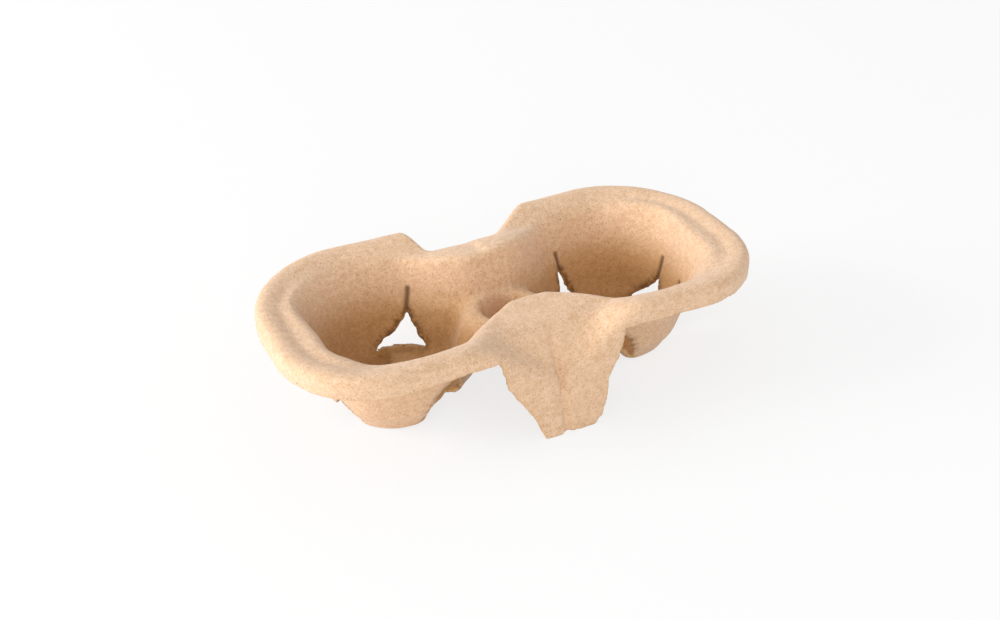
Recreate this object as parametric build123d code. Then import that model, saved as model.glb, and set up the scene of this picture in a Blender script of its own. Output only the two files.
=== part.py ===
from build123d import *
import os
from math import radians, tan

# Two-cup carrier moulded from paper pulp, in millimetres. X runs from cup to cup, +Z is up, and the
# origin is on the table under the middle. The shell is an upper form less a lower form: the same
# shapes, one wall apart. Its skirt is then trimmed and the petals of its wells are opened.

# The sheet and its rolled rim
length = 218.0
width = 110.0
height = 50.0
wall = 2.0
corner_radius = 43.0
waist = 3.5
waist_radius = 160.0
rim_roll = 4.5
rim_under_bevel = 1.5
bead_width = 8.0
bead_slope_width = 3.0
bead_height = 3.0
lip_drop = 9.0

# The two wells: a steep wall, then a shallow funnel up to the rim
cup_pitch = 110.0
well_floor_radius = 26.5
well_edge_radius = 38.0
well_edge_height = 43.5
well_mouth_radius = 46.5
well_floor_bevel = 3.0
well_edge_bevel = 3.5
platform_height = 8.0

# The feet under the side petals and the inner petal of each well
foot_width = 9.0
foot_circle_radius = 20.0
side_foot_angle = 66.0
side_foot_length = 18.0
inner_foot_length = 14.0
foot_corner = 3.0
foot_draft = 10.0
foot_bevel = 2.0

# The windows between the petals, at angles measured from the carrier's end
window_sill = 9.0
inner_window_angle = 121.0
inner_window_width = 21.0
inner_window_top = 24.0
outer_window_angle = 22.0
outer_window_width = 11.0
outer_window_top = 19.0
slit_length = 8.0
slit_width = 1.2
window_depth = 48.0

# The channel, the divider and the pocket between the two cups
channel_throat = 40.0
channel_mouth = 66.0
channel_mouth_x = 36.0
channel_draft = 19.0
panel_width = 24.0
panel_roll = 6.0
divider_width = 33.0
divider_height = 34.0
divider_edge_slope = 40.0
divider_roll = 4.0
pocket_radius = 11.0
pocket_floor = 16.0
pocket_draft = 10.0

# The ridges at the front and the back
ridge_height = 49.0
ridge_level = 16.0
ridge_length = 56.0
ridge_foot_length = 88.0
ridge_foot_height = 43.0
ridge_end_roll = 12.0
shoulder_height = 45.5
shoulder_reach = 37.0
shoulder_roll = 6.0

# The tabs below the ridges, and the notches that part them from the rim
tab_reach = 55.0
tab_bottom_width = 21.0
tab_full_width = 55.0
tab_full_height = 28.0
groove_width = 7.0
groove_depth = 1.6
notch_inner_width = 36.0
notch_outer_width = 65.0
notch_draft = 3.0
lip_rise_reach = 8.0
trim_margin = 1.0

# How far a cutting tool runs past the sheet
overrun = 30.0

cup_x = cup_pitch / 2
lip_height = height - lip_drop
flange_height = height - bead_height
sides = (-1, 1)


def polygon(*corners):
    return make_face(Polyline(*corners, close=True))


def symmetric(*half):
    """Polygon from its right half, listed from top to bottom or bottom to top."""
    return polygon(*half, *[(-x, y) for x, y in half[::-1]])


def front_and_back(tool):
    return tool + tool.mirror(Plane.XZ)


def in_both_wells(tool):
    """A tool drawn about the right-hand well's axis, with the carrier's end towards +X."""
    return [Pos(side * cup_x, 0) * Rot(0, 0, 90 - 90 * side) * tool for side in sides]


def rim_outline(inset):
    """Rounded rectangle with its long sides drawn in towards the middle."""
    quarter = [(length / 2, width / 2), (0, width / 2 - waist), (-length / 2, width / 2)]
    outline = polygon(*quarter, *[(-x, -y) for x, y in quarter])
    outline = fillet(outline.vertices().filter_by(lambda v: abs(v.X) > wall), corner_radius)
    outline = fillet(outline.vertices().filter_by(lambda v: abs(v.X) < wall), waist_radius)
    return offset(outline, amount=-inset)


def sheet(skin):
    """The outside with its rolled rim, and the lower flange inside the bead."""
    body = extrude(rim_outline(skin), amount=height - skin)
    brim = body.faces().sort_by(Axis.Z)[-1].edges()
    body = chamfer(brim, rim_under_bevel) if skin else fillet(brim, rim_roll)
    low = Plane.XY.offset(flange_height - skin) * rim_outline(bead_width - skin)
    high = Plane.XY.offset(height - skin) * rim_outline(bead_width - bead_slope_width - skin)
    return body - loft([low.face(), high.face()])


def turned(profile, skin):
    """Turns a profile of radius and height about Z, one skin larger."""
    thick = offset(profile, amount=skin, kind=Kind.INTERSECTION)
    half = Pos(length / 2, 0) * Rectangle(length, 2 * (height + overrun + wall))
    return revolve(Plane.XZ * (thick & half), axis=Axis.Z)


def rolled(profile, corner, roll):
    return fillet(profile.vertices().sort_by_distance(Vector(*corner))[0], roll)


def bevelled(profile, corner, size):
    return chamfer(profile.vertices().sort_by_distance(Vector(*corner))[0], size)


def funnel_tool(skin):
    """A well with the shallow funnel that leads up to the bead."""
    edge = (well_edge_radius, well_edge_height)
    top = height + overrun
    profile = polygon(
        (-overrun, platform_height),
        (well_floor_radius, platform_height),
        edge,
        (well_mouth_radius, flange_height),
        (well_mouth_radius + overrun, top),
        (-overrun, top),
    )
    return turned(bevelled(profile, edge, well_edge_bevel), skin)


def well_tool(skin):
    """A well with its steep wall carried straight up, which cuts the ends of the ridges."""
    floor = (well_floor_radius, platform_height)
    slope = (well_edge_radius - well_floor_radius) / (well_edge_height - platform_height)
    rise = height + overrun - platform_height
    profile = polygon(
        (-overrun, platform_height),
        floor,
        (well_floor_radius + slope * rise, platform_height + rise),
        (-overrun, platform_height + rise),
    )
    return turned(bevelled(profile, floor, well_floor_bevel), skin)


def inside_bead(tool, skin):
    """The tool in both wells, kept clear of the rim's bead."""
    inside = extrude(rim_outline(bead_width - skin), amount=height + overrun + wall)
    left, right = in_both_wells(tool)
    return inside & (left + right)


def foot_tool(skin, angle, side_length):
    """The pocket that presses a petal's foot down to the table."""
    plan = Rectangle(foot_width + 2 * skin, side_length + 2 * skin)
    plan = chamfer(plan.vertices(), foot_corner + skin / 2)
    base = Plane.XY.offset(wall - skin) * Rot(0, 0, angle) * Pos(foot_circle_radius, 0) * plan
    pocket = extrude(base, amount=platform_height + well_floor_bevel, taper=-foot_draft)
    return chamfer(pocket.faces().sort_by(Axis.Z)[0].edges(), foot_bevel + skin / 2)


def feet_tools(skin):
    """Three pockets in each well: one at each side petal and one at the inner petal."""
    pockets = [foot_tool(skin, side * side_foot_angle, side_foot_length) for side in sides]
    pockets.append(foot_tool(skin, 180, inner_foot_length))
    return [placed for pocket in pockets for placed in in_both_wells(pocket)]


def divider_tool(skin):
    """The space over the divider: its flat top and the eased edge of each well."""
    top = height + overrun + wall
    end = channel_mouth_x + skin + wall
    crest = (divider_width / 2, divider_height)
    fall = (end - crest[0]) * tan(radians(divider_edge_slope))
    profile = symmetric((end, top), (end, divider_height - fall), crest)
    for side in sides:
        profile = rolled(profile, (side * crest[0], crest[1]), divider_roll)
    profile = offset(profile, amount=skin, kind=Kind.ARC)
    return extrude(Plane.XZ * profile, amount=width, both=True)


def channel_tool(skin):
    """The way between the ridges, narrowest at the flat panels in the middle."""
    start = platform_height - 2 * wall
    lean = (ridge_height - start) * tan(radians(channel_draft))
    panel = (panel_width / 2, channel_throat / 2 - lean)
    mouth = (channel_mouth_x, channel_mouth / 2 - lean)
    plan = symmetric((panel[0], -panel[1]), (mouth[0], -mouth[1]), mouth, panel)
    base = Plane.XY.offset(start) * offset(plan, amount=skin)
    walls = extrude(base, amount=height + overrun - start, taper=-channel_draft)
    climbing = [edge for edge in walls.edges() if abs((edge % 0).Z) > 0.5]
    bends = [edge for edge in climbing if abs((edge @ 0).X) < mouth[0]]
    walls = fillet(bends, panel_roll - skin)
    return walls & divider_tool(skin)


def pocket_tool(skin):
    """The round pocket that stiffens the divider between the wells."""
    depth = divider_height + wall - pocket_floor
    lean = tan(radians(pocket_draft))
    floor_radius = pocket_radius - (divider_height - pocket_floor) * lean
    profile = polygon(
        (-overrun, pocket_floor),
        (floor_radius, pocket_floor),
        (floor_radius + depth * lean, pocket_floor + depth),
        (-overrun, pocket_floor + depth),
    )
    return turned(profile, skin)


def middle_body(skin, span):
    """The section of ridges and tabs from front to back, run along X."""
    shoulder = (shoulder_reach, shoulder_height)
    top = (ridge_level, ridge_height)
    section = symmetric(top, shoulder, (tab_reach, 0), (tab_reach, -overrun))
    for side in sides:
        section = rolled(section, (side * shoulder[0], shoulder[1]), shoulder_roll)
    section = offset(section, amount=-skin, kind=Kind.INTERSECTION)
    return extrude(Plane.YZ * section, amount=span / 2, both=True)


def ridges(skin):
    """The raised bars at the front and the back, lower towards the cups."""
    crest = (ridge_length / 2, ridge_height)
    foot = (ridge_foot_length / 2, ridge_foot_height)
    profile = symmetric(crest, foot, (foot[0], platform_height))
    for side in sides:
        profile = rolled(profile, (side * crest[0], crest[1]), ridge_end_roll)
    profile = offset(profile, amount=-skin, kind=Kind.INTERSECTION)
    along = extrude(Plane.XZ * profile, amount=width / 2, both=True)
    return along & middle_body(skin, length)


def tabs(skin):
    """The front and back walls that reach the table, before their sides are trimmed."""
    below = Pos(0, 0, ridge_foot_height / 2) * Box(length, 4 * tab_reach, ridge_foot_height)
    return below & middle_body(skin, tab_full_width)


def notch_tools(skin):
    """What is open above each tab, between the ends of the rolled rim."""
    inner = shoulder_reach - shoulder_roll
    outer = width / 2
    spread = (notch_outer_width - notch_inner_width) / 2 * (1 + overrun / (outer - inner))
    near = notch_inner_width / 2
    plan = symmetric((near, inner), (near + spread, outer + overrun))
    plan = offset(plan, amount=skin, kind=Kind.INTERSECTION)
    prism = extrude(Plane.XY.offset(height + wall) * plan, amount=-height - 2 * wall, taper=notch_draft)
    return front_and_back(prism) - middle_body(skin, length)


def groove_tools(skin):
    """The shallow valley pressed down the middle of each tab."""
    down = Vector(0, shoulder_reach - tab_reach, -shoulder_height)
    start = Plane(origin=(0, -shoulder_reach, shoulder_height), x_dir=(1, 0, 0), z_dir=down)
    valley = polygon((-groove_width, groove_depth), (groove_width, groove_depth), (0, -groove_depth))
    return front_and_back(extrude(start * Pos(0, -skin) * valley, amount=down.length + overrun))


def form(skin):
    """One face of the moulded sheet, as the top of a solid."""
    body = sheet(skin) - inside_bead(funnel_tool(skin), skin)
    body += ridges(skin)
    body -= notch_tools(skin)
    body += tabs(skin)
    body -= inside_bead(well_tool(skin), skin)
    body -= channel_tool(skin)
    body -= pocket_tool(skin)
    body -= groove_tools(skin)
    for pocket in feet_tools(skin):
        body -= pocket
    return body


def tab_outline():
    """The tabs seen from the front: narrow at the table, full width at the notches."""
    half = tab_full_width / 2
    face = symmetric((half, height), (half, tab_full_height), (tab_bottom_width / 2, 0))
    return extrude(Plane.XZ * face, amount=tab_reach + overrun, both=True)


def skirt_waste():
    """What is trimmed from the sheet's side below the lip, apart from the two tabs."""
    low = Plane.XY.offset(-overrun)
    inset = wall + trim_margin
    outside = extrude(low * rim_outline(-overrun), amount=overrun + lip_height)
    inside = extrude(low * rim_outline(inset), amount=overrun + lip_height)
    beside = Pos(0, 0, tab_full_height / 2) * Box(notch_outer_width, 4 * tab_reach, tab_full_height)
    return (outside - inside) + (beside - middle_body(inset, length)) - tab_outline()


def notch_waste():
    """The trim across the ends of the rim, from each lip down to the tab's side."""
    lip = width / 2 - waist
    far = tab_reach + overrun
    side_view = polygon(
        (shoulder_reach, -overrun),
        (lip - lip_rise_reach, tab_full_height),
        (lip, lip_height),
        (far, lip_height),
        (far, -overrun),
    )
    prism = extrude(Plane.YZ * side_view, amount=notch_outer_width / 2 + wall, both=True)
    return front_and_back(prism) - middle_body(0, length)


def window_tool(angle, sill_width, top):
    """A triangle with a slit torn above it, pushed through the wall from inside the well."""
    tip = (0, top + slit_length)
    triangle = symmetric((sill_width / 2, window_sill), (slit_width / 2, top)) + polygon(
        (-slit_width / 2, top), (slit_width / 2, top), tip
    )
    return Rot(0, 0, angle) * extrude(Plane.YZ * triangle, amount=window_depth)


def window_tools():
    """Two wide windows towards the middle and two narrow ones towards the end of each well."""
    tools = []
    for side in sides:
        inner = window_tool(side * inner_window_angle, inner_window_width, inner_window_top)
        outer = window_tool(side * outer_window_angle, outer_window_width, outer_window_top)
        tools += in_both_wells(inner) + in_both_wells(outer)
    return tools


def cup_carrier():
    shell = form(0) - form(wall) - skirt_waste() - notch_waste()
    for window in window_tools():
        shell -= window
    return shell


os.makedirs("parts", exist_ok=True)
export_step(cup_carrier(), "parts/cup_carrier.step")
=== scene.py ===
import bpy
import bmesh
import math
import numpy as np
from mathutils import Matrix, Vector


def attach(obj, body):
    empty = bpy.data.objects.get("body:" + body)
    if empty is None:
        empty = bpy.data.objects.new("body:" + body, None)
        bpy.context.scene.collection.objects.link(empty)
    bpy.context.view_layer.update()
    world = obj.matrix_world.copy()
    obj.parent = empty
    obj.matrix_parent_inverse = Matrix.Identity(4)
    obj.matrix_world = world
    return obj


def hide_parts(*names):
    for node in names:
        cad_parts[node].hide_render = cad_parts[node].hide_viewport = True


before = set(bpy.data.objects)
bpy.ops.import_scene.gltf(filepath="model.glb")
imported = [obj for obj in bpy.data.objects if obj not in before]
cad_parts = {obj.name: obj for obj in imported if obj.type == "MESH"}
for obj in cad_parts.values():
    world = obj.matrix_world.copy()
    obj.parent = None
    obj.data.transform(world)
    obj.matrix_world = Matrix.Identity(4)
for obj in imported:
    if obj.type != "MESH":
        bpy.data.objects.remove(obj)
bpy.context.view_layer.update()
mm = 0.001
print("frame loaded")

# Lengths in millimetres, angles in degrees. Left is the end nearer the camera, and front faces it.
# A blend is how far two faces run into each other. A scale keeps a slanted face's distances true.
# The sheet is found on a grid of cells from one corner to the other, then cut down to so many triangles.
sheet = {
    "wall": 2.0, "faceBlend": 0.5, "tornBlend": 0.7, "triangles": 190000,
    "cell": 0.75, "from": (-112.5, -58.5, -2.0), "to": (113.75, 60.75, 53.0), "layers": 40,
}
quarters = {"leftFront": (-1, -1), "rightFront": (1, -1), "leftBack": (-1, 1), "rightBack": (1, 1)}


def smoothMin(a, b, blend):
    share = np.clip(0.5 + 0.5 * (b - a) / blend, 0, 1)
    return b + (a - b) * share - blend * share * (1 - share)


def smoothMax(a, b, blend):
    return -smoothMin(-a, -b, blend)


def smoothStep(low, high, value):
    share = np.clip((value - low) / (high - low), 0, 1)
    return share * share * (3 - 2 * share)


# Distance above the line from (a, za) to (b, zb)
def slope(a, za, b, zb, along, height):
    run, rise = b - a, zb - za
    return ((height - za) * run - (along - a) * rise) / math.hypot(run, rise)


# Smooth noise from -1 to 1 with features of the given size
def valueNoise(points, size, seed):
    wrap = 63  # the pattern repeats after 64 cells
    rng = np.random.default_rng(seed)
    table = rng.uniform(-1, 1, (wrap + 1, wrap + 1, wrap + 1)).astype(np.float32)
    scaled = [values / size + 1000 for values in points]
    base = [np.floor(values).astype(np.int32) for values in scaled]
    part = [(values - whole).astype(np.float32) for values, whole in zip(scaled, base)]
    part = [share * share * (3 - 2 * share) for share in part]
    total = 0
    for bits in np.ndindex(2, 2, 2):
        weight = 1
        for share, bit in zip(part, bits):
            weight = weight * (share if bit else 1 - share)
        corner = tuple((whole + bit) & wrap for whole, bit in zip(base, bits))
        total = total + weight * table[corner]
    return total


# The tops say how high the flange stands at each inset from the rim, at the ends and along the sides
rim = {
    "halfLength": 109.3, "halfWidth": 55.0, "frontRadius": 41.0, "backRadius": 50.0, "centre": (0.4, 1.0),
    "waist": 3.5, "waistTurn": 10.0, "height": 50.0, "roll": 4.5, "lipHeight": 40.4, "skirtInset": 3.0,
    "inset": [4.5, 6.0, 8.0, 9.6, 11.0, 13.0, 15.0, 18.0, 21.0, 24.0, 28.0, 40.0],
    "endTop": [50.2, 49.9, 49.1, 48.4, 48.1, 48.3, 48.6, 48.5, 47.8, 46.5, 44.0, 38.0],
    "sideTop": [50.2, 49.9, 49.1, 48.4, 47.9, 47.1, 46.3, 45.0, 43.8, 42.6, 40.0, 38.0],
    "endShare": (0.25, 0.95), "topScale": 0.9, "topBlend": 1.5,
}


# Distance outside the rim's outline, and how far a place belongs to the ends rather than the long sides
def rimDistance(x, y):
    x, y = x - rim["centre"][0], y - rim["centre"][1]
    radius = np.where(y < 0, rim["frontRadius"], rim["backRadius"])
    drawnIn = rim["waist"] * (1 - np.sqrt(x * x + rim["waistTurn"] ** 2) / rim["halfLength"])
    pastEnd = np.abs(x) - rim["halfLength"] + radius
    pastSide = np.abs(y) + drawnIn - rim["halfWidth"] + radius
    ahead, beside = np.maximum(pastEnd, 0), np.maximum(pastSide, 0)
    reach = np.hypot(ahead, beside)
    return reach + np.minimum(np.maximum(pastEnd, pastSide), 0) - radius, ahead / np.maximum(reach, 0.01)


# The rolled rim and the flange inside it
def rimForm(x, y, z):
    outline, endShare = rimDistance(x, y)
    roll = rim["roll"]
    out, high = outline + roll, z - rim["height"] + roll
    body = np.hypot(np.maximum(out, 0), np.maximum(high, 0)) + np.minimum(np.maximum(out, high), 0) - roll
    endTop = np.interp(-outline, rim["inset"], rim["endTop"])
    sideTop = np.interp(-outline, rim["inset"], rim["sideTop"])
    top = sideTop + (endTop - sideTop) * smoothStep(*rim["endShare"], endShare)
    return smoothMax(body, (z - top) * rim["topScale"], rim["topBlend"])


well = {
    "cupX": 55.0, "floorRadius": 26.5, "edgeRadius": 38.0, "edgeHeight": 43.5, "edgeBlend": 4.0,
    "floorHeight": 8.0, "floorBlend": 5.0,
    "dividerBlend": 6.0, "dividerX": (40.0, 25.0), "dividerY": (26.0, 14.0),
    "endWall": 87.6, "endWallLean": 0.15, "endTurn": 0.11, "endTurnFrom": -6.0, "endBlend": 3.0,
    "petalFrom": (15.0, 13.0), "petalTo": (36.0, 28.0), "petalHeight": 31.0, "petalLean": 0.325,
    "crestTurn": 0.473, "crestBlend": 4.0, "petalEndBlend": 3.0, "petalBlend": 3.0,
}
# Each foot is an arc about the axis of a well: its middle angle, and how far it sweeps to either side
feet = {
    "arcs": [(66.0, 26.0), (-66.0, 26.0), (180.0, 12.0)], "circleRadius": 18.5, "halfWidth": 4.0,
    "draft": 14.0, "soleBlend": 3.0, "edgeBlend": 4.0,
}


# The space in front of the flat petal between a window and the middle
def petalSpace(x, y, z):
    (x0, y0), (x1, y1) = well["petalFrom"], well["petalTo"]
    length = math.hypot(x1 - x0, y1 - y0)
    shift = (z - well["petalHeight"]) * well["petalLean"]
    petal = ((y - y0) * (x1 - x0) - (x - x0) * (y1 - y0)) / length - shift
    crest = x0 + (y0 - y) * well["crestTurn"] - shift - x
    return smoothMax(smoothMax(petal, crest, well["crestBlend"]), x - x1, well["petalEndBlend"])


# The wall and the floor of the nearer well, negative inside the space for a cup
def wellSpace(x, y, z):
    radius = np.hypot(np.abs(x) - well["cupX"], y)
    foot, edge = (well["floorRadius"], well["floorHeight"]), (well["edgeRadius"], well["edgeHeight"])
    steep = -slope(*foot, *edge, radius, z)
    steep = smoothMin(steep, petalSpace(np.abs(x), np.abs(y), z), well["petalBlend"])
    flatEnd = np.abs(x) - well["endWall"] - (z - well["edgeHeight"]) * well["endWallLean"]
    flatEnd = flatEnd - np.maximum(y - well["endTurnFrom"], 0) * well["endTurn"]
    side = smoothMax(steep, flatEnd, well["endBlend"])
    return smoothMax(side, well["floorHeight"] - z, well["floorBlend"])


# Distance from the arc of one foot, about the axis of the nearer well, with the end at angle zero
def footDistance(x, y, angle, sweep):
    u = np.abs(x) - well["cupX"]
    turn, half, radius = math.radians(angle), math.radians(sweep), feet["circleRadius"]
    along, across = u * math.cos(turn) + y * math.sin(turn), -u * math.sin(turn) + y * math.cos(turn)
    onArc = np.abs(np.hypot(along, across) - radius)
    atEnd = np.hypot(along - radius * math.cos(half), np.abs(across) - radius * math.sin(half))
    return np.where(np.abs(np.arctan2(across, along)) < half, onArc, atEnd)


# The crests say how far from the middle line the channel's wall stands at each place along the carrier.
# Each notch has its edge at the inner and at the outer y, and how much it opens with height.
middle = {
    "crestX": [0, 8.6, 13, 19, 30, 38, 60], "backCrestY": [19, 19, 19.5, 22, 30, 35.5, 37],
    "frontCrestY": [18.5, 19, 21.5, 25, 31, 37, 42], "draft": 19.0, "sideScale": 0.85,
    "mouthX": 40.0, "dividerHeight": 31.0, "channelBlend": 2.0, "channelEdgeBlend": 3.0,
    "pocketRadius": 11.5, "pocketFloor": 15.0, "pocketDraft": 10.0,
    "pocketBlend": 4.0, "pocketEdgeBlend": 2.5,
    "ridgeHeight": 48.8, "ridgeLevel": 16.0, "ridgeHalf": 27.0, "ridgeFootX": 42.0, "ridgeFootHeight": 43.5,
    "ridgeTopBlend": 2.0, "ridgeEndBlend": 8.0, "ridgeBlend": 3.0,
    "backRise": 0.9, "stepHeight": 1.2, "stepX": (-3.0, 2.0),
    "shoulderY": 37.0, "shoulderHeight": 45.5, "shoulderBlend": 6.0,
    "tabReach": 55.0, "tabHalf": 31.0, "tabSideBlend": 2.0, "tabTopBlend": 3.0, "tabBlend": (7.0, 3.0),
    "notchInnerY": 32.0, "notchOuterY": 54.5, "notchSideBlend": 3.0, "notchBlend": (5.0, 1.5),
    "notch": {
        "leftFront": (26.0, 40.0, 1.4), "rightFront": (24.0, 37.0, 1.2),
        "leftBack": (22.0, 28.5, 0.35), "rightBack": (14.0, 36.0, 0.9),
    },
    "groove": {"x": 0.5, "depth": 1.8, "wide": 1.8, "fromY": 37.0, "toY": 43.0, "reach": 4.0},
    "dimple": {"x": 26.0, "y": -37.5, "z": 46.0, "depth": 1.4, "long": 7.0, "wide": 3.2, "high": 4.0},
}


# The first of a pair of values in front of the middle line, the second behind it
def frontOrBack(y, pair):
    return np.where(y < 0, pair[0], pair[1])


# The section across the two ridges and down the tabs, and the tabs' sloping face alone
def middleSection(x, y, z):
    side = np.abs(y)
    step = np.where(y > 0, middle["backRise"] + middle["stepHeight"] * smoothStep(*middle["stepX"], x), 0)
    level = z - middle["ridgeHeight"] - step
    shoulder = middle["shoulderY"], middle["shoulderHeight"]
    fall = slope(middle["ridgeLevel"], middle["ridgeHeight"], *shoulder, side, z - step)
    front = slope(*shoulder, middle["tabReach"], 0, side, z)
    ridge = smoothMax(level, fall, middle["ridgeTopBlend"])
    return smoothMax(ridge, front, middle["shoulderBlend"]), front


# What is open above each tab, between the ends of the rim
def notchSpace(x, y, z):
    space = np.zeros_like(x)
    run = middle["notchOuterY"] - middle["notchInnerY"]
    for name, (sideX, sideY) in quarters.items():
        inner, outer, ramp = middle["notch"][name]
        turn = (outer - inner) / run
        wedge = (np.abs(x) - inner) - (np.abs(y) - middle["notchInnerY"]) * (outer - inner) / run
        wedge = wedge + (rim["height"] - z) * ramp
        at = ((x < 0) == (sideX < 0)) & ((y < 0) == (sideY < 0))
        space = np.where(at, wedge / math.sqrt(1 + turn ** 2 + ramp * ramp), space)
    return space


# The channel between the ridges, down to the divider that carries the pocket
def channelSpace(x, y, z):
    drop = (z - middle["ridgeHeight"]) * math.tan(math.radians(middle["draft"]))
    backCrest = np.interp(np.abs(x), middle["crestX"], middle["backCrestY"])
    frontCrest = np.interp(np.abs(x), middle["crestX"], middle["frontCrestY"])
    sides = (np.abs(y) - np.where(y > 0, backCrest, frontCrest) - drop) * middle["sideScale"]
    trough = smoothMax(sides, middle["dividerHeight"] - z, middle["channelBlend"])
    return smoothMax(trough, np.abs(x) - middle["mouthX"], middle["channelBlend"])


# Distance outside the upper face of the sheet, negative within the mould
def carrierForm(x, y, z):
    body = rimForm(x, y, z)
    section, front = middleSection(x, y, z)
    ridgeEnd = middle["ridgeHalf"], middle["ridgeHeight"]
    ridgeFoot = middle["ridgeFootX"], middle["ridgeFootHeight"]
    along = slope(*ridgeEnd, *ridgeFoot, np.abs(x), z)
    body = smoothMin(body, smoothMax(section, along, middle["ridgeEndBlend"]), middle["ridgeBlend"])
    notch = smoothMax(notchSpace(x, y, z), -section, middle["notchSideBlend"])
    body = smoothMax(body, -notch, frontOrBack(y, middle["notchBlend"]))
    tabs = smoothMax(section, np.abs(x) - middle["tabHalf"], middle["tabSideBlend"])
    tabs = smoothMax(tabs, z - middle["ridgeFootHeight"], middle["tabTopBlend"])
    body = smoothMin(body, tabs, frontOrBack(y, middle["tabBlend"]))
    body = smoothMax(body, -channelSpace(x, y, z), middle["channelEdgeBlend"])

    nearDivider = smoothStep(*well["dividerY"], np.abs(y)) * smoothStep(*well["dividerX"], np.abs(x))
    edgeBlend = well["edgeBlend"] + (well["dividerBlend"] - well["edgeBlend"]) * nearDivider
    body = smoothMax(body, -wellSpace(x, y, z), edgeBlend)
    grow = (z - middle["dividerHeight"]) * math.tan(math.radians(middle["pocketDraft"]))
    pocket = np.hypot(x, y) - middle["pocketRadius"] - grow
    pocket = smoothMax(pocket, middle["pocketFloor"] - z, middle["pocketBlend"])
    body = smoothMax(body, -pocket, middle["pocketEdgeBlend"])

    groove = middle["groove"]
    sink = groove["depth"] * np.exp(-((x - groove["x"]) / groove["wide"]) ** 2)
    sink = sink * smoothStep(groove["fromY"], groove["toY"], np.abs(y))
    body = body + sink * np.exp(-(front / groove["reach"]) ** 2)
    dimple = middle["dimple"]
    long, wide = (x - dimple["x"]) / dimple["long"], (y - dimple["y"]) / dimple["wide"]
    high = (z - dimple["z"]) / dimple["high"]
    body = body + dimple["depth"] * np.exp(-long ** 2 - wide ** 2 - high ** 2)

    lean = math.tan(math.radians(feet["draft"]))
    for angle, sweep in feet["arcs"]:
        hollow = footDistance(x, y, angle, sweep) - feet["halfWidth"] - (z - sheet["wall"]) * lean
        hollow = smoothMax(hollow, sheet["wall"] - z, feet["soleBlend"])
        body = smoothMax(body, -hollow, feet["edgeBlend"])
    return body


# Outlines of (angle, height) corners on the wall of each well. Angle zero is the carrier's end.
windows = {
    "holes": {
        "leftBack": [
            [(97, 7.2), (103, 8.7), (141.5, 9.2), (136, 12), (129, 17),
             (125.6, 21), (124.4, 22.5), (122.8, 20.5), (116.5, 14), (105, 10.3)],
        ],
        "rightBack": [
            [(104, 8.0), (121, 8.5), (117.4, 14), (115.3, 18), (113.4, 20.5), (112, 18), (108, 11.5)],
            [(9, 8.5), (37, 6.0), (29, 8.8), (20.5, 11), (15.6, 15.5), (14.2, 17), (13.2, 14), (11, 11.5)],
        ],
        "leftFront": [
            [(94, -3), (140, -3), (138, 12), (130, 18), (122.5, 24), (108, 19), (100, 11)],
            [(-6, -3), (38, -3), (35, 8), (28, 12), (22, 15), (13, 10), (-2, 7)],
        ],
        "rightFront": [
            [(97, -3), (138, -3), (136, 11), (128, 17), (122, 22), (108, 17), (101, 9)],
            [(10, -3), (34, -3), (32, 8), (25, 11), (19, 14), (13, 10)],
        ],
    },
    "slits": {
        "leftBack": [[(124.4, 22), (124.9, 33.5), (124.3, 33.5), (123.8, 22)]],
        "rightBack": [
            [(113.7, 19), (113.3, 30), (112.7, 30), (112.9, 19)],
            [(14.6, 15), (14.2, 28.5), (13.6, 28.5), (13.8, 15)],
        ],
        "leftFront": [
            [(122.6, 22), (121, 31), (120.4, 31), (121.8, 22)],
            [(22.4, 13), (22.4, 26), (21.8, 26), (21.6, 13)],
        ],
        "rightFront": [
            [(122.2, 20), (121, 30), (120.4, 30), (121.6, 20)],
            [(19.4, 12), (18.8, 25), (18.2, 25), (18.6, 12)],
        ],
    },
    "bevel": 1.2, "innerReach": 23.5, "slitDepth": 0.7, "slitWidth": 0.8,
    "wallRadius": (20.0, 44.0), "wallTop": 42.0, "pastMiddle": 3.0, "farAway": 50.0,
}
# How far each tab reaches to the left and right of the middle at each height
tab = {
    "heights": [-2.0, 0.0, 3.0, 9.0, 13.0, 17.0, 22.0, 27.0, 33.0, 45.0],
    "left": [9.0, 10.0, 11.0, 13.2, 16.0, 18.6, 22.0, 25.0, 26.0, 31.0],
    "right": [10.0, 13.5, 17.5, 20.5, 21.8, 22.5, 24.5, 27.0, 29.0, 30.0],
    "sideScale": 0.85, "riseFrom": (42.0, 31.0), "riseTo": (51.0, 40.6), "riseHalf": 36.0,
    "innerSkin": 3.0, "innerFoot": -30.0, "blend": 1.0,
}
# Size and seed of the ragged line, and how far it wanders at the windows and at the trimmed skirt
tear = {
    "coarse": (3.4, 3), "fine": (1.5, 4), "window": (0.7, 0.5), "trim": (0.32, 0.3),
    "floorShare": 0.25, "fromFloor": (7.5, 12.0),
}
# Height, size and seed of the sheet's unevenness
uneven = {"swell": (0.26, 15, 1), "ripple": (0.10, 4.5, 2)}


# Distance outside a closed polygon of (angle, height) corners, laid on a wall of the given radius
def polygonDistance(corners, angle, radius, z):
    nearest = np.full(z.shape, np.inf)
    inside = np.zeros(z.shape, bool)
    for (a0, z0), (a1, z1) in zip(corners, corners[1:] + corners[:1]):
        u, v = np.radians(angle - a0) * radius, z - z0
        du, dv = math.radians(a1 - a0) * radius, z1 - z0
        share = np.clip((u * du + v * dv) / (du * du + dv * dv), 0, 1)
        nearest = np.minimum(nearest, (u - share * du) ** 2 + (v - share * dv) ** 2)
        crosses = (z0 > z) != (z1 > z)
        inside ^= crosses & (angle < a0 + (z - z0) / (z1 - z0 + 1e-9) * (a1 - a0))
    return np.sqrt(nearest) * np.where(inside, -1, 1)


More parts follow.
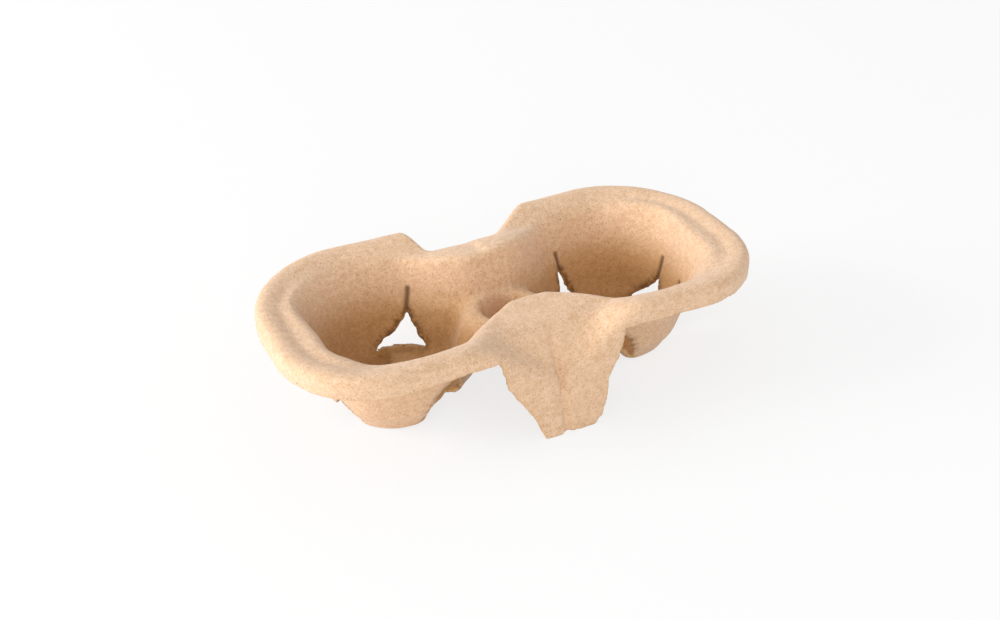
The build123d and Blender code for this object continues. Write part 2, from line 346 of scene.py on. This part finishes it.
# Distance outside the nearest window or slit in the walls of the wells
def windowDistance(x, y, z, kind):
    radius = np.hypot(np.abs(x) - well["cupX"], y)
    nearest = np.full(x.shape, windows["farAway"])
    inner, outer = windows["wallRadius"]
    onWall = (radius > inner) & (radius < outer) & (z < windows["wallTop"])
    for name, (sideX, sideY) in quarters.items():
        at = onWall & (x * sideX > 0) & (y * sideY > -windows["pastMiddle"])
        angle = np.degrees(np.arctan2(y[at] * sideY, x[at] * sideX - well["cupX"]))
        angle = np.where(angle < -90, angle + 360, angle)  # from -90 to 270
        for corners in windows[kind][name]:
            hole = polygonDistance(corners, angle, radius[at], z[at])
            nearest[at] = np.minimum(nearest[at], np.maximum(hole, windows["innerReach"] - radius[at]))
    return nearest


# What is cut away from the skirt, negative inside the waste
def trimDistance(x, y, z):
    outline = rimDistance(x, y)[0]
    section = middleSection(x, y, z)[0]
    left = np.interp(z, tab["heights"], tab["left"])
    right = np.interp(z, tab["heights"], tab["right"])
    tabSide = (np.where(x < 0, left, right) - np.abs(x)) * tab["sideScale"]
    skirt = smoothMax(z - rim["lipHeight"], -(outline + rim["skirtInset"]), tab["blend"])
    beside = smoothMax(np.abs(x) - tab["riseHalf"], z - tab["riseFrom"][1], tab["blend"])
    beside = smoothMax(beside, -(section + tab["innerSkin"]), tab["blend"])
    keep = np.maximum(np.minimum(skirt, beside), tabSide)
    rise = slope(*tab["riseFrom"], *tab["riseTo"], np.abs(y), z)
    within = slope(middle["shoulderY"], tab["innerFoot"], *tab["riseFrom"], np.abs(y), z)
    ends = np.maximum(np.maximum(rise, z - rim["lipHeight"]), np.abs(x) - tab["riseHalf"])
    ends = np.maximum(np.maximum(ends, tabSide), np.maximum(-section, within))
    return np.minimum(np.minimum(keep, ends), z)


# The sheet with its windows and trim, then the distances from the nearest cut and the nearest window
def sheetField(x, y, z):
    places = x, y, z
    wall = sheet["wall"]
    swell, ripple = [height * valueNoise(places, size, seed) for height, size, seed in uneven.values()]
    form = carrierForm(x, y, z) + (swell + ripple)
    slit = windows["slitDepth"] * np.exp(-(windowDistance(x, y, z, "slits") / windows["slitWidth"]) ** 2)
    shell = smoothMax(form + slit, -(form + wall), sheet["faceBlend"])
    coarse, fine = valueNoise(places, *tear["coarse"]), valueNoise(places, *tear["fine"])
    ragged = tear["floorShare"] + (1 - tear["floorShare"]) * smoothStep(*tear["fromFloor"], z)
    wander = tear["window"][0] * coarse + tear["window"][1] * fine
    window = windowDistance(x, y, z, "holes") + wander * ragged
    window = window - windows["bevel"] * np.clip((form + wall) / wall, 0, 1)
    trim = trimDistance(x, y, z) + tear["trim"][0] * coarse + tear["trim"][1] * fine
    cut = np.minimum(window, trim)
    return smoothMax(shell, -cut, sheet["tornBlend"]), cut, window


# A closed quad mesh at the zero level of a field on a grid
def surfaceNets(field, origin, size):
    inside = field < 0
    nx, ny, nz = field.shape
    corners = list(np.ndindex(2, 2, 2))
    count = np.zeros((nx - 1, ny - 1, nz - 1), np.int8)
    for i, j, k in corners:
        count += inside[i:nx - 1 + i, j:ny - 1 + j, k:nz - 1 + k]
    cells = np.argwhere((count > 0) & (count < len(corners)))
    index = np.full(count.shape, -1, np.int32)
    index[tuple(cells.T)] = np.arange(len(cells))
    total = np.zeros((len(cells), 3))
    hits = np.zeros(len(cells))
    for corner in corners:
        for axis in range(3):
            if corner[axis]:
                continue
            following = list(corner)
            following[axis] = 1
            here = field[tuple((cells + corner).T)]
            there = field[tuple((cells + following).T)]
            crossing = (here < 0) != (there < 0)
            share = np.where(crossing, here / np.where(crossing, here - there, 1), 0)
            point = np.repeat(np.array(corner, float)[None], len(cells), 0)
            point[:, axis] += share
            total += point * crossing[:, None]
            hits += crossing
    verts = (cells + total / hits[:, None]) * size + origin
    quads = []
    for axis in range(3):
        b, c = (axis + 1) % 3, (axis + 2) % 3
        low = [slice(1, -1)] * 3
        low[axis] = slice(0, -1)
        high = list(low)
        high[axis] = slice(1, None)
        first, second = inside[tuple(low)], inside[tuple(high)]
        for state, flip in ((first & ~second, False), (~first & second, True)):
            at = np.argwhere(state)
            at[:, b] += 1
            at[:, c] += 1
            ring = []
            for stepB, stepC in ((-1, -1), (0, -1), (0, 0), (-1, 0)):
                around = at.copy()
                around[:, b] += stepB
                around[:, c] += stepC
                ring.append(index[tuple(around.T)])
            quad = np.stack(ring, 1)
            quads.append(quad[:, ::-1] if flip else quad)
    return verts, np.concatenate(quads)


def buildCarrier():
    xs, ys, zs = (np.arange(low, high, sheet["cell"]) for low, high in zip(sheet["from"], sheet["to"]))
    fields = []
    for start in range(0, len(xs), sheet["layers"]):  # a few layers at a time, to spare memory
        x, y, z = np.meshgrid(xs[start:start + sheet["layers"]], ys, zs, indexing="ij")
        fields.append(sheetField(x, y, z)[0].astype(np.float32))
    verts, quads = surfaceNets(np.concatenate(fields), np.array(sheet["from"]), sheet["cell"])
    print("carrier mesh", len(verts), "points", len(quads), "quads")
    mesh = bpy.data.meshes.new("pulpCarrier")
    mesh.vertices.add(len(verts))
    mesh.vertices.foreach_set("co", (verts * mm).astype(np.float32).ravel())
    mesh.loops.add(quads.size)
    mesh.loops.foreach_set("vertex_index", quads.astype(np.int32).ravel())
    mesh.polygons.add(len(quads))
    mesh.polygons.foreach_set("loop_start", np.arange(0, quads.size, 4, dtype=np.int32))
    mesh.polygons.foreach_set("loop_total", np.full(len(quads), 4, np.int32))
    mesh.update(calc_edges=True)
    mesh.validate()
    return mesh


# Loose crumbs cut off by the ragged trim are dropped
def dropCrumbs(mesh):
    count = len(mesh.vertices)
    edges = np.zeros(len(mesh.edges) * 2, np.int32)
    mesh.edges.foreach_get("vertices", edges)
    edges = edges.reshape(-1, 2)
    label = np.arange(count)
    while True:
        low = np.minimum(label[edges[:, 0]], label[edges[:, 1]])
        before = label.copy()
        np.minimum.at(label, edges[:, 0], low)
        np.minimum.at(label, edges[:, 1], low)
        label = label[label]
        if (label == before).all():
            break
    main = np.bincount(label, minlength=count).argmax()
    loose = bmesh.new()
    loose.from_mesh(mesh)
    loose.verts.ensure_lookup_table()
    crumbs = [loose.verts[int(i)] for i in np.nonzero(label != main)[0]]
    print("crumb points dropped", len(crumbs))
    bmesh.ops.delete(loose, geom=crumbs, context="VERTS")
    loose.to_mesh(mesh)
    loose.free()


# Fewer triangles, most of them where the sheet bends
def reduceCarrier(carrier):
    reduce = carrier.modifiers.new("reduce", "DECIMATE")
    reduce.ratio = min(1.0, sheet["triangles"] / (2 * len(carrier.data.polygons)))
    bpy.context.view_layer.objects.active = carrier
    carrier.select_set(True)
    bpy.ops.object.modifier_apply(modifier="reduce")
    carrier.data.polygons.foreach_set("use_smooth", np.ones(len(carrier.data.polygons), bool))
    print("carrier reduced to", len(carrier.data.polygons), "faces")


# Where the material shows torn pulp, the painted shade in the slits, and painted shade deep in the wells
# and under the rim, from 0 to 1 at each point.
# A band is full at the edge and fades out over its reach.
bands = {
    "tornReach": 0.9, "slitFull": 1.3, "slitReach": 1.1,
    "windowFull": 1.15, "windowReach": 2.8, "windowFloorShare": 0.25, "windowFromFloor": (8.5, 11.0),
    "wellRadius": 48.0, "paintedShadeFrom": (40.0, 20.0), "undersideShadeFrom": (44.0, 38.0), "undersideShadeShare": 0.25,
}


def markCarrier(mesh):
    places = np.zeros(len(mesh.vertices) * 3, np.float32)
    mesh.vertices.foreach_get("co", places)
    x, y, z = (places.reshape(-1, 3) / mm).T.astype(float)
    cutDistance, holeDistance = sheetField(x, y, z)[1:]
    slitDistance = windowDistance(x, y, z, "slits")
    overFloor = smoothStep(*bands["windowFromFloor"], z)
    overFloor = bands["windowFloorShare"] + (1 - bands["windowFloorShare"]) * overFloor
    # Painted shade: the wells darken towards their floors, and the underside darkens under the rim
    inWell = np.hypot(np.abs(x) - well["cupX"], y) < bands["wellRadius"]
    upperSide = carrierForm(x, y, z) > -sheet["wall"] / 2
    undersideShade = bands["undersideShadeShare"] * smoothStep(*bands["undersideShadeFrom"], z)
    marks = {
        "tornEdge": np.clip(1 - np.abs(cutDistance) / bands["tornReach"], 0, 1),
        "windowEdge": np.clip(bands["windowFull"] - holeDistance / bands["windowReach"], 0, 1) * overFloor,
        # Painted shade along the slits, where a cut through the sheet would be dark
        "slitShade": np.clip(bands["slitFull"] - np.abs(slitDistance) / bands["slitReach"], 0, 1),
        "paintedWellShade": inWell * np.where(upperSide, smoothStep(*bands["paintedShadeFrom"], z), undersideShade),
    }
    for name, values in marks.items():
        mark = mesh.attributes.new(name, "FLOAT", "POINT")
        mark.data.foreach_set("value", values.astype(np.float32))


carrierMesh = buildCarrier()
dropCrumbs(carrierMesh)
carrier = bpy.data.objects.new("pulpCarrier", carrierMesh)
bpy.context.scene.collection.objects.link(carrier)
reduceCarrier(carrier)
markCarrier(carrier.data)

# Each noise has its scale, detail and roughness, and a band of its values in which its colour comes in
pulpLook = {
    "pale": (0.81, 0.56, 0.37), "mid": (0.69, 0.44, 0.26), "brown": (0.45, 0.25, 0.12),
    # The dark torn colour also paints the shade in the slits
    "speck": (0.10, 0.05, 0.02), "tornPale": (0.62, 0.36, 0.13), "tornDarkAndSlitShade": (0.11, 0.045, 0.01),
    # The deep tint is painted shade, multiplied in towards the wells' floors and under the rim
    "paintedShadeTint": (0.76, 0.64, 0.42), "paintedShadeShare": 1.0,
    "grain": (1250, 2, 0.6), "grainBand": (0.50, 0.68), "grainShare": 0.62,
    "mottle": (420, 3, 0.6), "mottleBand": (0.35, 0.65),
    "cloud": (42, 2, 0.5), "cloudBand": (0.35, 0.7), "cloudShare": 0.25,
    "fibre": (420, 1, 0.4), "fibreBand": (0.62, 0.72), "fibreShare": 0.35,
    "fibreStretch": [(0.25, 3.0, 3.0), (3.0, 0.25, 3.0)],
    "fibreTurn": [(0.6, 0.42, 0.78), (-0.9, -0.63, -1.17)],
    "speckScale": 210.0, "speckRare": (0.90, 0.93), "speckSize": (0.10, 0.05), "speckShare": 0.8,
    "tear": (420, 3, 0.7), "tearBand": (0.46, 0.58), "edgeBand": (0.3, 0.5),
    "windowShare": 0.85, "slitShadeShare": 0.8, "edgeShare": 0.6,
    "roughness": 0.92, "specular": 0.25, "sheen": 0.25, "sheenRoughness": 0.6,
    "bump": 0.5, "bumpDepth": 0.0006,
    "bumpGrain": 0.35, "bumpMottle": 0.5, "bumpFibre": 0.2, "bumpTear": 1.5,
}


# Adds a node with its settings and inputs, where an input's name has _ for a space
def addNode(tree, kind, **values):
    node = tree.nodes.new(kind)
    for name, value in values.items():
        if name in ("operation", "blend_type", "data_type", "attribute_name", "feature"):
            setattr(node, name, value)
        else:
            node.inputs[name.replace("_", " ")].default_value = value
    return node


def noiseAt(tree, coordinates, settings):
    scale, detail, roughness = settings
    noise = addNode(tree, "ShaderNodeTexNoise", Scale=scale, Detail=detail, Roughness=roughness)
    tree.links.new(coordinates, noise.inputs["Vector"])
    return noise.outputs["Fac"]


# Coordinates drawn out along an axis and turned, so that a noise in them runs in streaks
def stretched(tree, coordinates, stretch, turn):
    mapping = addNode(tree, "ShaderNodeMapping", Scale=stretch, Rotation=turn)
    tree.links.new(coordinates, mapping.inputs["Vector"])
    return mapping.outputs["Vector"]


def rampOf(tree, source, band, low=0.0, high=1.0):
    node = addNode(tree, "ShaderNodeMapRange", From_Min=band[0], From_Max=band[1], To_Min=low, To_Max=high)
    tree.links.new(source, node.inputs["Value"])
    return node.outputs["Result"]


def markOf(tree, name):
    return addNode(tree, "ShaderNodeAttribute", attribute_name=name).outputs["Fac"]


# Sets a number or a colour on a socket, or links to it
def feed(tree, socket, value):
    if isinstance(value, (int, float)):
        socket.default_value = value
    elif isinstance(value, tuple):
        socket.default_value = (*value, 1)
    else:
        tree.links.new(value, socket)


def blend(tree, factor, a, b, kind="MIX"):
    node = addNode(tree, "ShaderNodeMix", data_type="RGBA", blend_type=kind)
    for socket, value in ((node.inputs[0], factor), (node.inputs[6], a), (node.inputs[7], b)):
        feed(tree, socket, value)
    return node.outputs[2]


def combine(tree, operation, a, b):
    node = addNode(tree, "ShaderNodeMath", operation=operation)
    for socket, value in zip(node.inputs, (a, b)):
        feed(tree, socket, value)
    return node.outputs[0]


def makePulp():
    look = pulpLook
    pulp = bpy.data.materials.new("pulp")
    pulp.use_nodes = True
    tree = pulp.node_tree
    shader = tree.nodes["Principled BSDF"]
    place = tree.nodes.new("ShaderNodeTexCoord").outputs["Object"]

    grain, mottle, cloud = [noiseAt(tree, place, look[name]) for name in ("grain", "mottle", "cloud")]
    streaks = []
    for stretch, turn in zip(look["fibreStretch"], look["fibreTurn"]):
        streak = noiseAt(tree, stretched(tree, place, stretch, turn), look["fibre"])
        streaks.append(rampOf(tree, streak, look["fibreBand"]))
    fibre = combine(tree, "MAXIMUM", *streaks)
    colour = blend(tree, rampOf(tree, mottle, look["mottleBand"]), look["mid"], look["pale"])
    darker = rampOf(tree, grain, look["grainBand"], high=look["grainShare"])
    colour = blend(tree, darker, colour, look["brown"])
    lighter = rampOf(tree, cloud, look["cloudBand"], high=look["cloudShare"])
    colour = blend(tree, lighter, colour, look["pale"])
    colour = blend(tree, combine(tree, "MULTIPLY", fibre, look["fibreShare"]), colour, look["pale"])

    dots = addNode(tree, "ShaderNodeTexVoronoi", feature="F1", Scale=look["speckScale"])
    tree.links.new(place, dots.inputs["Vector"])
    rare = rampOf(tree, dots.outputs["Color"], look["speckRare"])
    small = rampOf(tree, dots.outputs["Distance"], look["speckSize"])
    speck = combine(tree, "MULTIPLY", rare, small)
    colour = blend(tree, combine(tree, "MULTIPLY", speck, look["speckShare"]), colour, look["speck"])

    torn, window, slit = [markOf(tree, name) for name in ("tornEdge", "windowEdge", "slitShade")]
    rough = noiseAt(tree, place, look["tear"])
    tornColour = blend(tree, rampOf(tree, rough, look["tearBand"]), look["tornDarkAndSlitShade"], look["tornPale"])
    colour = blend(tree, combine(tree, "MULTIPLY", window, look["windowShare"]), colour, tornColour)
    # Painted shade: the slits are darkened as a cut through the sheet would be
    colour = blend(tree, combine(tree, "MULTIPLY", slit, look["slitShadeShare"]), colour, look["tornDarkAndSlitShade"])
    edgeColour = blend(tree, rampOf(tree, rough, look["edgeBand"]), look["brown"], look["tornPale"])
    colour = blend(tree, combine(tree, "MULTIPLY", torn, look["edgeShare"]), colour, edgeColour)
    # Painted shade: the deep tint darkens the wells towards their floors and under the rim
    depth = combine(tree, "MULTIPLY", markOf(tree, "paintedWellShade"), look["paintedShadeShare"])
    colour = blend(tree, depth, colour, look["paintedShadeTint"], "MULTIPLY")
    tree.links.new(colour, shader.inputs["Base Color"])
    shader.inputs["Roughness"].default_value = look["roughness"]
    shader.inputs["Specular IOR Level"].default_value = look["specular"]
    shader.inputs["Sheen Weight"].default_value = look["sheen"]
    shader.inputs["Sheen Roughness"].default_value = look["sheenRoughness"]

    height = combine(tree, "MULTIPLY", grain, look["bumpGrain"])
    height = combine(tree, "ADD", height, combine(tree, "MULTIPLY", mottle, look["bumpMottle"]))
    height = combine(tree, "ADD", height, combine(tree, "MULTIPLY", fibre, look["bumpFibre"]))
    atTears = combine(tree, "MAXIMUM", torn, window)
    ruffle = combine(tree, "MULTIPLY", rough, look["bumpTear"])
    height = combine(tree, "ADD", height, combine(tree, "MULTIPLY", atTears, ruffle))
    bump = addNode(tree, "ShaderNodeBump", Strength=look["bump"], Distance=look["bumpDepth"])
    tree.links.new(height, bump.inputs["Height"])
    tree.links.new(bump.outputs["Normal"], shader.inputs["Normal"])
    return pulp


carrier.data.materials.append(makePulp())
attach(carrier, "root")
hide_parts("cup_carrier")
print("carrier placed")

# Metres and watts. Each lamp has its place, its size and its power.
studio = {
    "floorHalf": 3.0, "floorColour": (0.9, 0.9, 0.9), "floorRoughness": 0.9, "floorGlow": 0.75,
    "skyStrength": 0.68,
    "lamps": {"softKey": ((-1.77, 0.64, 0.68), 0.9, 34.0), "softFill": ((-0.85, -1.67, 0.68), 0.9, 12.0)},
    "lampAim": (0, 0, 0.02),
}
# The camera looks at the target, and its shift sets that point at the centre, in pixels of the image
view = {
    "azimuth": 26.93, "elevation": 31.0, "distance": 0.560, "target": (0, 0, 0.050),
    "focal": 1296.1, "centre": (506.7, 268.5), "image": (1000, 620), "sensor": 36,
}


# The floor's paint is mixed with a glow that only the camera sees, so that it is pale and keeps the shadow
def layFloor():
    half = studio["floorHalf"]
    mesh = bpy.data.meshes.new("studioFloor")
    corners = [(-half, -half, 0), (half, -half, 0), (half, half, 0), (-half, half, 0)]
    mesh.from_pydata(corners, [], [(0, 1, 2, 3)])
    floor = bpy.data.objects.new("studioFloor", mesh)
    bpy.context.scene.collection.objects.link(floor)
    paint = bpy.data.materials.new("floorPaint")
    paint.use_nodes = True
    tree = paint.node_tree
    shader = tree.nodes["Principled BSDF"]
    shader.inputs["Base Color"].default_value = (*studio["floorColour"], 1)
    shader.inputs["Roughness"].default_value = studio["floorRoughness"]
    glow = addNode(tree, "ShaderNodeEmission", Strength=1.0)
    mix = tree.nodes.new("ShaderNodeMixShader")
    seen = tree.nodes.new("ShaderNodeLightPath").outputs["Is Camera Ray"]
    tree.links.new(combine(tree, "MULTIPLY", seen, studio["floorGlow"]), mix.inputs[0])
    tree.links.new(shader.outputs[0], mix.inputs[1])
    tree.links.new(glow.outputs[0], mix.inputs[2])
    tree.links.new(mix.outputs[0], tree.nodes["Material Output"].inputs["Surface"])
    mesh.materials.append(paint)


def placeCamera():
    azimuth, elevation = math.radians(view["azimuth"]), math.radians(view["elevation"])
    level = math.cos(elevation)
    back = Vector((-math.sin(azimuth) * level, -math.cos(azimuth) * level, math.sin(elevation)))
    right = Vector((math.cos(azimuth), -math.sin(azimuth), 0))
    up = back.cross(right)
    wide, high = view["image"]
    camera = bpy.data.objects.new("camera", bpy.data.cameras.new("camera"))
    camera.data.sensor_width = view["sensor"]
    camera.data.lens = view["focal"] * view["sensor"] / wide
    camera.data.shift_x = (wide / 2 - view["centre"][0]) / wide
    camera.data.shift_y = (view["centre"][1] - high / 2) / wide
    camera.data.clip_start = 0.01
    standpoint = Vector(view["target"]) + back * view["distance"]
    camera.matrix_world = Matrix.Translation(standpoint) @ Matrix((right, up, back)).transposed().to_4x4()
    bpy.context.scene.collection.objects.link(camera)
    bpy.context.scene.camera = camera


# The sky is white where it is seen or mirrored, and weaker as a light
def paintSky():
    world = bpy.data.worlds.new("studio")
    bpy.context.scene.world = world
    world.use_nodes = True
    tree = world.node_tree
    sky = tree.nodes["Background"]
    sky.inputs["Color"].default_value = (1, 1, 1, 1)
    path = tree.nodes.new("ShaderNodeLightPath")
    seen = combine(tree, "MAXIMUM", path.outputs["Is Camera Ray"], path.outputs["Is Glossy Ray"])
    seen = combine(tree, "MAXIMUM", seen, path.outputs["Is Transmission Ray"])
    tree.links.new(rampOf(tree, seen, (0, 1), studio["skyStrength"], 1.0), sky.inputs["Strength"])


def hangLamps():
    for name, (place, size, power) in studio["lamps"].items():
        lamp = bpy.data.objects.new(name, bpy.data.lights.new(name, "AREA"))
        lamp.data.size = size
        lamp.data.energy = power
        lamp.location = place
        aim = Vector(studio["lampAim"]) - lamp.location
        lamp.rotation_euler = aim.to_track_quat("-Z", "Y").to_euler()
        bpy.context.scene.collection.objects.link(lamp)


layFloor()
placeCamera()
paintSky()
hangLamps()
bpy.context.scene.view_settings.view_transform = "Standard"
print("studio ready")

print("scene ready")
